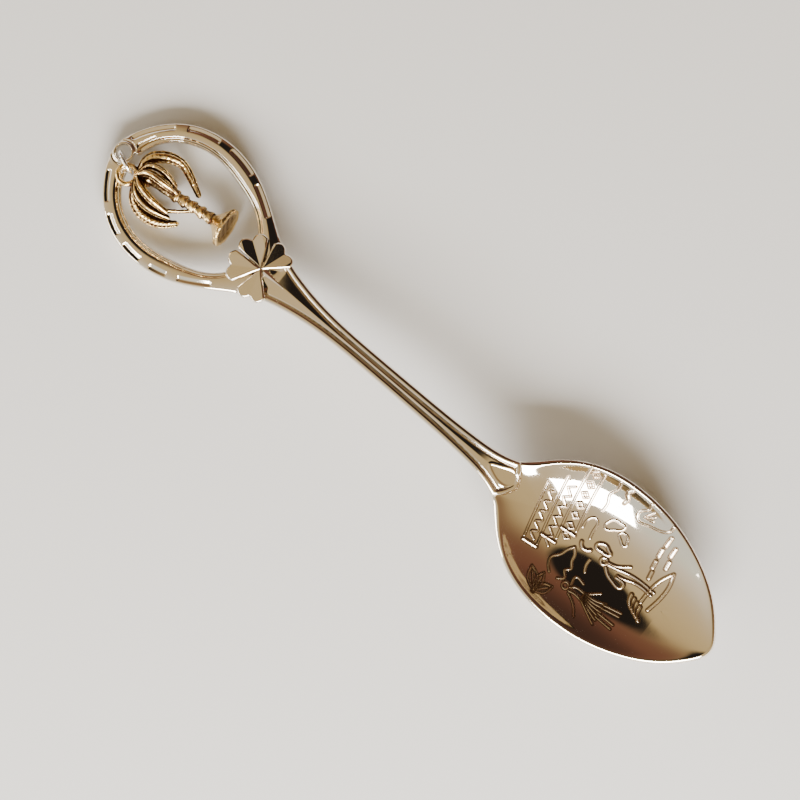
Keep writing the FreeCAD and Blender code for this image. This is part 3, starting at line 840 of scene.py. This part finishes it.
# Points along each frond, with its half-thickness as a fourth value.
LIMBS = [curve_through(np.column_stack(frond), LIMB_SPACING) for frond in FRONDS]
LEAFY_FRONDS = (5,)          # counted from 0: the broad one on the right
LEAFLET_SPACING = 0.55
LEAFLET_SLANT = 0.9          # sideways distance in which a leaflet slips one spacing
LEAFLET_HEIGHT = 0.05
MIDRIB_HEIGHT = 0.06
MIDRIB_HALF_WIDTH = 0.5      # widths and places across a frond are shares of its half-thickness
FURROW_DEPTH = 0.15
FURROW_PLACE = 0.62
FURROW_HALF_WIDTH = 0.24
CAST_FILLET = 0.12
CAST_WAVES = 0.045
CAST_GRAIN = 0.022
PART_MARGIN = 0.5
CHARM_BOX = ((2.2, -6.3, -0.1), (21.6, 5.2, 6.2))
CHARM_STEP = 0.08
# How the charm is darkened, partly as patina and partly as painted shade: a near and a far reach, each with
# its weight, and the foot's hollow.
CHARM_SHELTER = ((0.35, 1.0), (1.1, 0.6))
FOOT_STAIN_AND_SHADE = 0.42


def limb_field(x, y, z, rows, leafy):
    """A frond with a broad midrib and a furrow each side; leafy ones have slanting leaflets."""
    best = np.full(x.shape, FAR)
    shape = np.full(x.shape, FAR)
    run = 0.0
    for first, last in zip(rows[:-1], rows[1:]):
        d = last[:3] - first[:3]
        length = np.linalg.norm(d)
        px, py, pz = x - first[0], y - first[1], z - first[2]
        t = np.clip((px * d[0] + py * d[1] + pz * d[2]) / length ** 2, 0, 1)
        distance = np.sqrt((px - t * d[0]) ** 2 + (py - t * d[1]) ** 2 + (pz - t * d[2]) ** 2)
        radius = first[3] + t * (last[3] - first[3])
        sideways = ((py - t * d[1]) * d[0] - (px - t * d[0]) * d[1]) / math.hypot(d[0], d[1])
        lateral = np.abs(sideways) / radius
        upper = ease((pz - t * d[2]) / radius, -0.2, 0.3)
        relief = MIDRIB_HEIGHT * bump(lateral, 0.0, MIDRIB_HALF_WIDTH)
        relief = relief - FURROW_DEPTH * bump(lateral, FURROW_PLACE, FURROW_HALF_WIDTH)
        turns = (run + t * length) / LEAFLET_SPACING + np.abs(sideways) / LEAFLET_SLANT
        leaflets = leafy * LEAFLET_HEIGHT * np.sin(2 * math.pi * turns)
        relief = relief + leaflets * ease(lateral, 0.05, 0.2) * (1 - ease(lateral, 0.5, 0.85))
        nearer = distance - radius < best
        best = np.where(nearer, distance - radius, best)
        shape = np.where(nearer, distance - radius - upper * relief, shape)
        run += length
    return shape


def turned_frame(x, y, z, start, axis):
    """Distance along an axis from its start, and away from it."""
    axis = np.array(axis) / np.linalg.norm(axis)
    px, py, pz = x - start[0], y - start[1], z - start[2]
    along = px * axis[0] + py * axis[1] + pz * axis[2]
    return along, np.sqrt(np.maximum(px * px + py * py + pz * pz - along * along, 1e-9))


def ball_field(x, y, z, centre, radius):
    return np.sqrt((x - centre[0]) ** 2 + (y - centre[1]) ** 2 + (z - centre[2]) ** 2) - radius


TRUNK_WAY = np.array(TRUNK_END) - TRUNK_START


def trunk_field(x, y, z):
    """Trunk with raised rings, each cut off square on the side of the foot."""
    along, away = turned_frame(x, y, z, TRUNK_START, TRUNK_WAY)
    length = np.linalg.norm(TRUNK_WAY)
    tooth = np.mod(along - TRUNK_RINGS_START, TRUNK_RING_SPACING) / TRUNK_RING_SPACING
    ring = ease(tooth, 0.0, 0.7) * (1 - ease(tooth, 0.72, 0.9)) * (along > TRUNK_RINGS_START)
    radius = TRUNK_RADIUS + (TRUNK_RING_RADIUS - TRUNK_RADIUS) * 1.5 * ring
    return np.maximum((away - radius) * 0.8, np.abs(along - length / 2) - length / 2)


FOOT_RISE = math.hypot(TRUNK_WAY[0], TRUNK_WAY[1]) * math.tan(math.radians(BASE_TILT))
FOOT_WAY = (TRUNK_WAY[0], TRUNK_WAY[1], FOOT_RISE)


def foot_field(x, y, z):
    """Flared foot, tilted so that its face looks slightly upwards."""
    along, away = turned_frame(x, y, z, TRUNK_END, FOOT_WAY)
    spread = np.clip(along / (BASE_LENGTH - BASE_RIM), 0, 1)
    radius = TRUNK_RADIUS * 1.15 + (BASE_RADIUS - TRUNK_RADIUS * 1.15) * spread ** 1.3
    face = along - BASE_LENGTH + FOOT_HOLLOW * ease(BASE_RADIUS - away, 0.35, 1.3)
    return np.maximum(rounded_meet((away - radius) * 0.75, face, 0.16), -along - TRUNK_RADIUS)


def cast_texture(x, y, z):
    """Slight unevenness of a casting."""
    wave = np.sin(5.1 * x + 2.3 * y) * np.sin(4.3 * y + 3.1 * z + 1.0) * np.sin(4.7 * z - 2.9 * x + 2.0)
    fine = np.sin(13.0 * x + 7.0 * z) * np.sin(12.0 * y - 5.0 * x + 1.5) * np.sin(11.0 * z + 6.0 * y)
    return CAST_WAVES * wave + CAST_GRAIN * fine


def charm_parts():
    """Each part of the charm as a field, with the box that holds it."""
    parts = []
    for number, rows in enumerate(LIMBS):
        margin = rows[:, 3].max() + PART_MARGIN
        low, high = rows[:, :3].min(axis=0) - margin, rows[:, :3].max(axis=0) + margin
        parts.append((partial(limb_field, rows=rows, leafy=number in LEAFY_FRONDS), low, high))
    for centre, radius in [(CROWN_HUB, CROWN_HUB_RADIUS)] + [(nut, NUT_RADIUS) for nut in NUTS]:
        centre = np.array(centre)
        ball = partial(ball_field, centre=centre, radius=radius)
        parts.append((ball, centre - radius - PART_MARGIN, centre + radius + PART_MARGIN))
    low = np.minimum(TRUNK_START, TRUNK_END) - 1.5
    high = np.maximum(TRUNK_START, TRUNK_END) + 1.5
    parts.append((trunk_field, low, high))
    parts.append((foot_field, np.array(TRUNK_END) - 3.8, np.array(TRUNK_END) + 4.2))
    return parts


CHARM_PARTS = charm_parts()


def charm_field(x, y, z):
    x, y, z = np.broadcast_arrays(x, y, z)
    value = np.full(x.shape, 3.0)
    for part, low, high in CHARM_PARTS:
        near = (x > low[0]) & (x < high[0]) & (y > low[1]) & (y < high[1]) & (z > low[2]) & (z < high[2])
        value[near] = melt(value[near], part(x[near], y[near], z[near]), CAST_FILLET)
    across = np.hypot(x - CHARM_EYE[0], y - CHARM_EYE[1])
    eye = np.hypot(across - CHARM_EYE_RADIUS, z - CHARM_EYE[2]) - CHARM_EYE_WIRE
    value = melt(value, eye, CAST_FILLET)
    value = np.maximum(value, CHARM_EYE_RADIUS - CHARM_EYE_WIRE - across)
    return value + cast_texture(x, y, z)


def foot_stain_and_shade(points):
    """How deep a point is in the hollow of the foot's face, from 0 to 1; the face is darkened by it, partly
    as patina and partly as painted shade.
    """
    along, away = turned_frame(*points.T, TRUNK_END, FOOT_WAY)
    inside_rim = 1 - ease(away, BASE_RADIUS - 0.7, BASE_RADIUS - 0.35)
    return ease(along, BASE_LENGTH - 0.8, BASE_LENGTH - 0.6) * inside_rim


def make_charm(material):
    points, faces = skin(charm_field, even_grid(*CHARM_BOX, CHARM_STEP))
    # Hollows near and far are darkened: partly the charm's patina, partly painted shade.
    near, far = [weight * hollowness(charm_field, points, reach) for reach, weight in CHARM_SHELTER]
    # The foot's dipped face is darkened too: partly patina, partly painted shade.
    tarnish_and_shade_mask = near + far + FOOT_STAIN_AND_SHADE * foot_stain_and_shade(points)
    make_piece("palm_tree", points, faces, "charm", "palm_charm", material, tarnish_and_shade_mask)


# ---------------------------------------------------------------- materials
SILVER = (0.86, 0.78, 0.66)
# Dark colour mixed into the plated pieces' hollows: partly their own tarnish, partly painted shade.
TARNISH_AND_SHADE_COLOUR = (0.22, 0.15, 0.09)
WIRE = (0.86, 0.85, 0.83)
GOLD = (0.95, 0.70, 0.33)
# Dark colour mixed into the charm's hollows: partly its antique patina, partly painted shade.
PATINA_AND_SHADE_COLOUR = (0.06, 0.022, 0.008)
WEAR_SCALE = 260.0
WEAR_RANGE = (0.3, 0.75)     # stretch of the noise that spans clean to worn
TARNISH_ROUGHNESS = 0.25     # added where the metal is fully darkened
GRAIN_HEIGHT = 0.00002       # metres


def metal(name, bright, dark, roughness, mottling, tarnish_and_shade_range, grain_strength, grain_scale):
    """Polished metal that darkens where it is sheltered, partly as tarnish and partly as painted shade,
    with faint wear.
    """
    material = bpy.data.materials.new(name)
    material.use_nodes = True
    nodes, links = material.node_tree.nodes, material.node_tree.links
    shader = nodes["Principled BSDF"]
    shader.inputs["Metallic"].default_value = 1.0
    place = nodes.new("ShaderNodeTexCoord")

    # The mask mixes in the dark colour: partly the metal's tarnish and patina, partly painted shade.
    tarnish_and_shade_mask = nodes.new("ShaderNodeAttribute")
    tarnish_and_shade_mask.attribute_name = "tarnish_and_shade_mask"
    amount = nodes.new("ShaderNodeMapRange")
    amount.interpolation_type = "SMOOTHSTEP"
    amount.inputs["From Min"].default_value, amount.inputs["From Max"].default_value = tarnish_and_shade_range
    links.new(tarnish_and_shade_mask.outputs["Fac"], amount.inputs["Value"])
    colour = nodes.new("ShaderNodeMix")
    colour.data_type = "RGBA"
    colour.inputs["A"].default_value = (*bright, 1)
    colour.inputs["B"].default_value = (*dark, 1)
    links.new(amount.outputs["Result"], colour.inputs["Factor"])
    links.new(colour.outputs["Result"], shader.inputs["Base Color"])

    cloudy = nodes.new("ShaderNodeTexNoise")
    cloudy.inputs["Scale"].default_value = WEAR_SCALE
    cloudy.inputs["Detail"].default_value = 4.0
    links.new(place.outputs["Object"], cloudy.inputs["Vector"])
    gloss = nodes.new("ShaderNodeMapRange")
    gloss.inputs["From Min"].default_value, gloss.inputs["From Max"].default_value = WEAR_RANGE
    gloss.inputs["To Min"].default_value = roughness
    gloss.inputs["To Max"].default_value = roughness + mottling
    links.new(cloudy.outputs["Fac"], gloss.inputs["Value"])
    dull = nodes.new("ShaderNodeMath")
    dull.operation = "MULTIPLY_ADD"
    dull.inputs[1].default_value = TARNISH_ROUGHNESS
    links.new(amount.outputs["Result"], dull.inputs[0])
    links.new(gloss.outputs["Result"], dull.inputs[2])
    links.new(dull.outputs["Value"], shader.inputs["Roughness"])

    grain = nodes.new("ShaderNodeTexNoise")
    grain.inputs["Scale"].default_value = grain_scale
    grain.inputs["Detail"].default_value = 3.0
    links.new(place.outputs["Object"], grain.inputs["Vector"])
    grain_bump = nodes.new("ShaderNodeBump")
    grain_bump.inputs["Strength"].default_value = grain_strength
    grain_bump.inputs["Distance"].default_value = GRAIN_HEIGHT
    links.new(grain.outputs["Fac"], grain_bump.inputs["Height"])
    links.new(grain_bump.outputs["Normal"], shader.inputs["Normal"])
    return material


# ---------------------------------------------------------------- scene
FLOOR_REACH = 1.5            # metres, as are the other lengths here
FLOOR_COLOUR = (0.66, 0.65, 0.63)
FLOOR_ROUGHNESS = 0.8
VIEW_TURN = math.radians(40.5)
CAMERA_PLACE = (-0.8 * MM, -1.3 * MM, 0.226)
CAMERA_LENS = 70.0           # its lens and sensor in millimetres
CAMERA_SENSOR = 36.0
# Each light: name, azimuth, elevation, distance, width and height, power, colour.
LIGHTS = (
    ("window", -49, 28, 0.6, (0.58, 0.25), 17.0, (1.0, 0.99, 0.98)),
    ("low_panel", -125, 12, 0.6, (0.36, 0.12), 2.6, (1.0, 0.97, 0.93)),
)
# The room's colours, from the spoon's right, over the top, to its left.
ROOM_STOPS = (
    (0.0, (1.15, 1.08, 0.98)), (0.1, (1.0, 0.90, 0.75)), (0.25, (0.78, 0.64, 0.42)),
    (0.45, (0.74, 0.56, 0.30)), (0.62, (0.66, 0.49, 0.24)), (0.76, (0.20, 0.10, 0.055)),
    (0.9, (0.22, 0.09, 0.055)), (1.0, (0.035, 0.022, 0.018)),
)
# The dark patch is an ellipse seen from the spoon, in the x and y of unit directions.
DARK_PATCH_CENTRE = (0.02, 0.38)
DARK_PATCH_REACH = (0.5, 0.37)
DARK_PATCH_EDGE = (0.85, 1.1)    # its soft edge, as shares of its reach
DARK_PATCH_COLOUR = (0.02, 0.016, 0.014)


def make_floor():
    reach = FLOOR_REACH
    corners = [(-reach, -reach, 0), (reach, -reach, 0), (reach, reach, 0), (-reach, reach, 0)]
    mesh = bpy.data.meshes.new("floor")
    mesh.from_pydata(corners, [], [(0, 1, 2, 3)])
    material = bpy.data.materials.new("floor_paper")
    material.use_nodes = True
    shader = material.node_tree.nodes["Principled BSDF"]
    shader.inputs["Base Color"].default_value = (*FLOOR_COLOUR, 1)
    shader.inputs["Roughness"].default_value = FLOOR_ROUGHNESS
    mesh.materials.append(material)
    floor = bpy.data.objects.new("floor", mesh)
    bpy.context.scene.collection.objects.link(floor)


def make_camera():
    """Straight above the spoon, turned so that its bowl points down and to the right."""
    data = bpy.data.cameras.new("camera")
    data.lens = CAMERA_LENS
    data.sensor_width = CAMERA_SENSOR
    camera = bpy.data.objects.new("camera", data)
    camera.location = CAMERA_PLACE
    camera.rotation_euler = (0, 0, VIEW_TURN)
    bpy.context.scene.collection.objects.link(camera)
    bpy.context.scene.camera = camera


def area_light(name, azimuth, elevation, distance, size, power, colour):
    """Soft light aimed at the spoon; azimuth in degrees round from the spoon's axis."""
    data = bpy.data.lights.new(name, "AREA")
    data.shape = "RECTANGLE"
    data.size, data.size_y = size
    data.energy = power
    data.color = colour
    light = bpy.data.objects.new(name, data)
    a, e = math.radians(azimuth), math.radians(elevation)
    place = Vector((math.cos(a) * math.cos(e), math.sin(a) * math.cos(e), math.sin(e))) * distance
    light.location = place
    light.rotation_euler = (-place).to_track_quat("-Z", "Y").to_euler()
    bpy.context.scene.collection.objects.link(light)


def make_world():
    """Soft room light: pale to the spoon's right, golden overhead, dim to its left."""
    world = bpy.data.worlds.new("studio")
    world.use_nodes = True
    nodes, links = world.node_tree.nodes, world.node_tree.links
    place = nodes.new("ShaderNodeTexCoord")
    split = nodes.new("ShaderNodeSeparateXYZ")
    links.new(place.outputs["Generated"], split.inputs["Vector"])
    ramp = nodes.new("ShaderNodeValToRGB")
    ramp.color_ramp.interpolation = "B_SPLINE"
    elements = ramp.color_ramp.elements
    while len(elements) < len(ROOM_STOPS):
        elements.new(0.5)
    for element, (position, colour) in zip(elements, ROOM_STOPS):
        element.position = position
        element.color = (*colour, 1)
    half = nodes.new("ShaderNodeMapRange")
    half.inputs["From Min"].default_value = -1.0
    links.new(split.outputs["Y"], half.inputs["Value"])
    links.new(half.outputs["Result"], ramp.inputs["Fac"])

    patch = nodes.new("ShaderNodeVectorMath")
    patch.operation = "MULTIPLY_ADD"
    spread = [1 / reach for reach in DARK_PATCH_REACH]
    patch.inputs[1].default_value = (*spread, 0)
    patch.inputs[2].default_value = (*[-c * k for c, k in zip(DARK_PATCH_CENTRE, spread)], 0)
    links.new(place.outputs["Generated"], patch.inputs[0])
    away = nodes.new("ShaderNodeVectorMath")
    away.operation = "LENGTH"
    links.new(patch.outputs["Vector"], away.inputs[0])
    edge = nodes.new("ShaderNodeMapRange")
    edge.interpolation_type = "SMOOTHSTEP"
    edge.inputs["From Min"].default_value, edge.inputs["From Max"].default_value = DARK_PATCH_EDGE
    links.new(away.outputs["Value"], edge.inputs["Value"])
    room = nodes.new("ShaderNodeMix")
    room.data_type = "RGBA"
    room.inputs["A"].default_value = (*DARK_PATCH_COLOUR, 1)
    links.new(edge.outputs["Result"], room.inputs["Factor"])
    links.new(ramp.outputs["Color"], room.inputs["B"])
    links.new(room.outputs["Result"], nodes["Background"].inputs["Color"])
    bpy.context.scene.world = world


make_camera()
make_world()
for light in LIGHTS:
    area_light(*light)
make_floor()
plate = metal(
    "silver_plate", SILVER, TARNISH_AND_SHADE_COLOUR, roughness=0.035, mottling=0.05, tarnish_and_shade_range=(0.25, 0.9),
    grain_strength=0.15, grain_scale=900.0,
)
badge_metal = metal(
    "badge_plate", SILVER, TARNISH_AND_SHADE_COLOUR, roughness=0.06, mottling=0.06, tarnish_and_shade_range=(0.25, 0.9),
    grain_strength=0.15, grain_scale=900.0,
)
wire_metal = metal(
    "ring_wire", WIRE, TARNISH_AND_SHADE_COLOUR, roughness=0.12, mottling=0.06, tarnish_and_shade_range=(0.3, 0.9),
    grain_strength=0.2, grain_scale=1500.0,
)
charm_metal = metal(
    "antique_gold", GOLD, PATINA_AND_SHADE_COLOUR, roughness=0.15, mottling=0.12, tarnish_and_shade_range=(0.1, 0.62),
    grain_strength=1.0, grain_scale=2200.0,
)
make_bowl(plate)
make_handle(plate)
make_badge(badge_metal)
make_ring(wire_metal)
make_charm(charm_metal)
